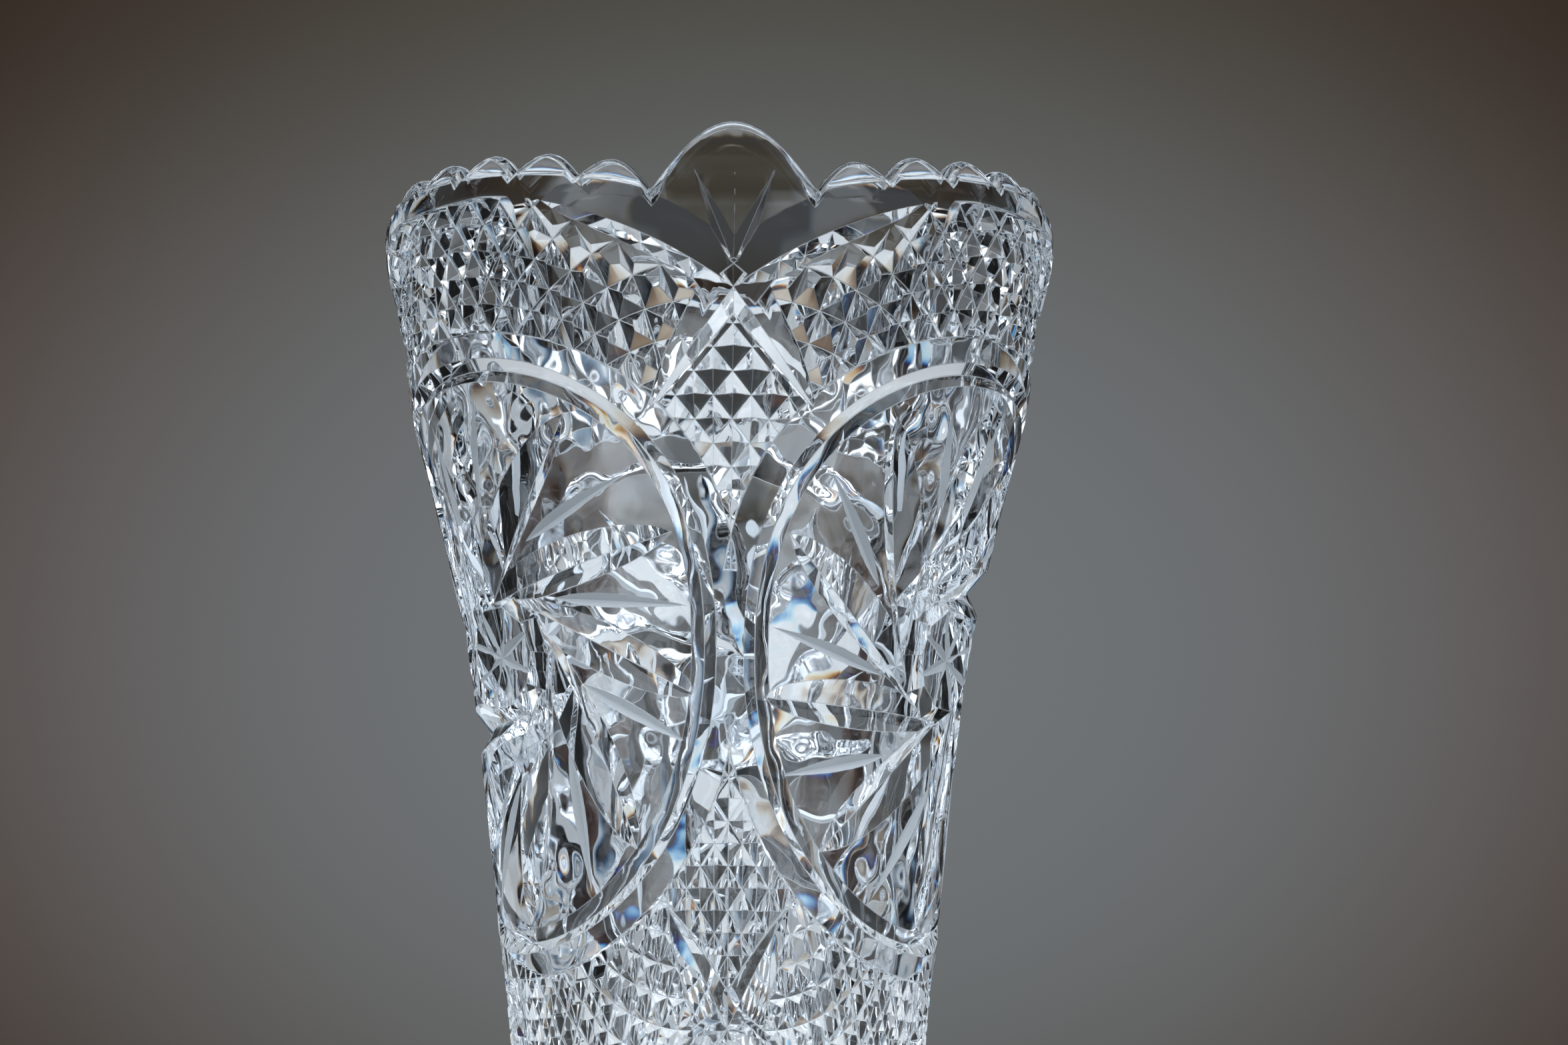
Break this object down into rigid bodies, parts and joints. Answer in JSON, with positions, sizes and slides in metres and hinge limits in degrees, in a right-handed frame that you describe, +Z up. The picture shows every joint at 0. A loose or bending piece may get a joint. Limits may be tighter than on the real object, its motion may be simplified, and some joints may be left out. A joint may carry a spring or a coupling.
{
  "type": "cut crystal vase",
  "caption": "Flared cut crystal vase with a scalloped rim, oval pinwheel panels and a solid round foot.",
  "frame": {"origin": "centre of the flat face that the vase rests on", "axes": "+Z up along the turning axis; a rim tongue and the pillar between two oval panels face -Y"},
  "size_m": [0.1276, 0.1278, 0.2005],
  "materials": {
    "crystal": "clear polished lead crystal, with frosted wheel cuts"
  },
  "bodies": {
    "root": {"vase_body": "crystal"}
  },
  "joints": []
}
